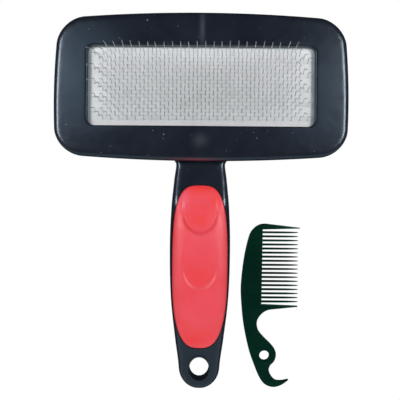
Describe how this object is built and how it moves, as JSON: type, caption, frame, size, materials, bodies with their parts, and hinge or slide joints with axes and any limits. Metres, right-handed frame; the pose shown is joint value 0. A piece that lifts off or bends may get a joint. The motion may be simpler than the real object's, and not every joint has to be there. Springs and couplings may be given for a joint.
{
  "type": "slicker brush with dematting comb",
  "caption": "Pet slicker brush with a wide head of bent wire pins and a soft-grip handle, plus a loose small flat comb with a hooked end.",
  "frame": {"origin": "centre of the flat face under the brush head, on which the brush lies", "axes": "+X across the head, +Y from the handle's end to the head, +Z out of the pad along the pins (up, as the brush lies on its back)"},
  "size_m": [0.1716, 0.2219, 0.026],
  "materials": {
    "black_plastic": "satin gloss, near-black navy",
    "grip_rubber": "satin coral red",
    "foam": "matt grey foam",
    "cloth": "matt woven cloth",
    "pad_face": "matt pale grey rubber-faced cloth",
    "pin_wire": "bright drawn wire",
    "comb_plastic": "gloss, very dark green"
  },
  "bodies": {
    "brush": {"body_shell": "black_plastic", "head_frame": "black_plastic", "front_grip": "grip_rubber", "back_grip": "grip_rubber", "foam_cushion": "foam", "backing_cloth": "cloth", "pad_face": "pad_face", "pin_row_01": "pin_wire", "pin_row_02": "pin_wire", "pin_row_03": "pin_wire", "pin_row_04": "pin_wire", "pin_row_05": "pin_wire", "pin_row_06": "pin_wire", "pin_row_07": "pin_wire", "pin_row_08": "pin_wire", "pin_row_09": "pin_wire", "pin_row_10": "pin_wire", "pin_row_11": "pin_wire", "pin_row_12": "pin_wire", "pin_row_13": "pin_wire", "pin_row_14": "pin_wire", "pin_row_15": "pin_wire", "pin_row_16": "pin_wire", "pin_row_17": "pin_wire", "pin_row_18": "pin_wire", "pin_row_19": "pin_wire", "pin_row_20": "pin_wire"},
    "comb": {"hooked_comb": "comb_plastic"}
  },
  "joints": [
    {"name": "comb_lift", "type": "slide", "parent": "brush", "child": "comb", "axis": [0, 0, 1], "range_m": [0, 0.06]}
  ]
}
